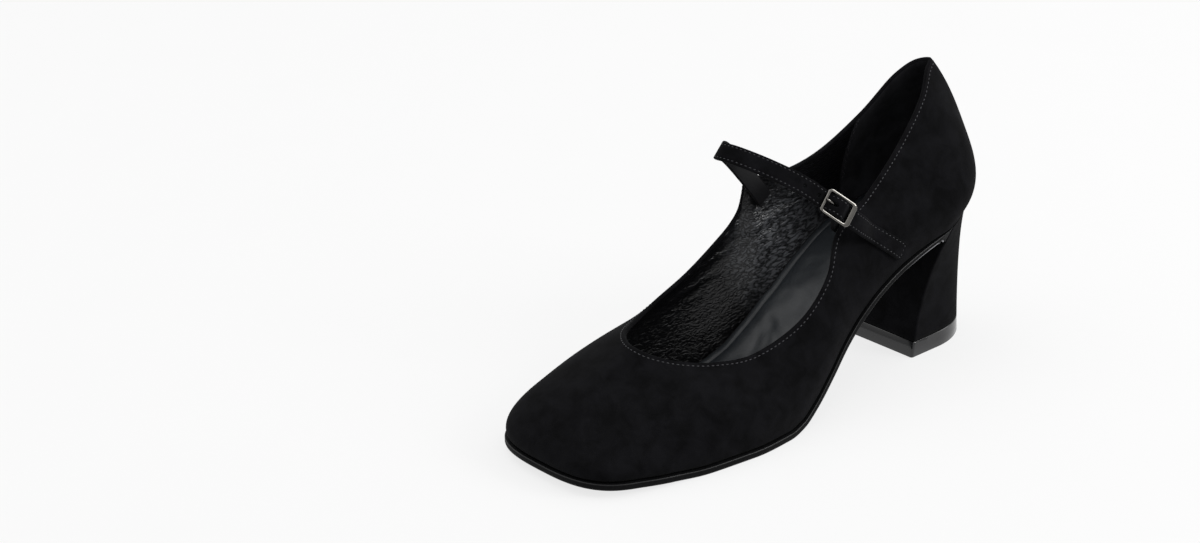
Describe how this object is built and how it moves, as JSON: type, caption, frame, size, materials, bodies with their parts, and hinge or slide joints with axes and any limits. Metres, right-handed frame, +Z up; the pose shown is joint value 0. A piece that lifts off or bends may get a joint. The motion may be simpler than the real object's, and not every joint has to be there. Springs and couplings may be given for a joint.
{
  "type": "mary jane pump",
  "caption": "Square-toed mary jane pump for a left foot, in black suede on a high flared block heel, with a narrow buckled instep strap; empty and standing on its sole.",
  "frame": {"origin": "on the floor, under the middle of the whole shoe's box", "axes": "+Z up from the floor, -Y towards the toe, +X towards the wearer's left, which is the shoe's outer side with the buckle"},
  "size_m": [0.0914, 0.2424, 0.128],
  "materials": {
    "black_suede": "suede, napped",
    "black_sole_leather": "satin",
    "black_lift_rubber": "glossy",
    "grey_sock_leather": "semi-gloss",
    "nickel": "polished"
  },
  "bodies": {
    "root": {"upper": "black_suede", "strap": "black_suede", "buckle_tab": "black_suede", "heel_block": "black_suede", "outsole": "black_sole_leather", "top_lift": "black_lift_rubber", "insole": "grey_sock_leather", "buckle_frame": "nickel", "buckle_prong": "nickel"}
  },
  "joints": []
}
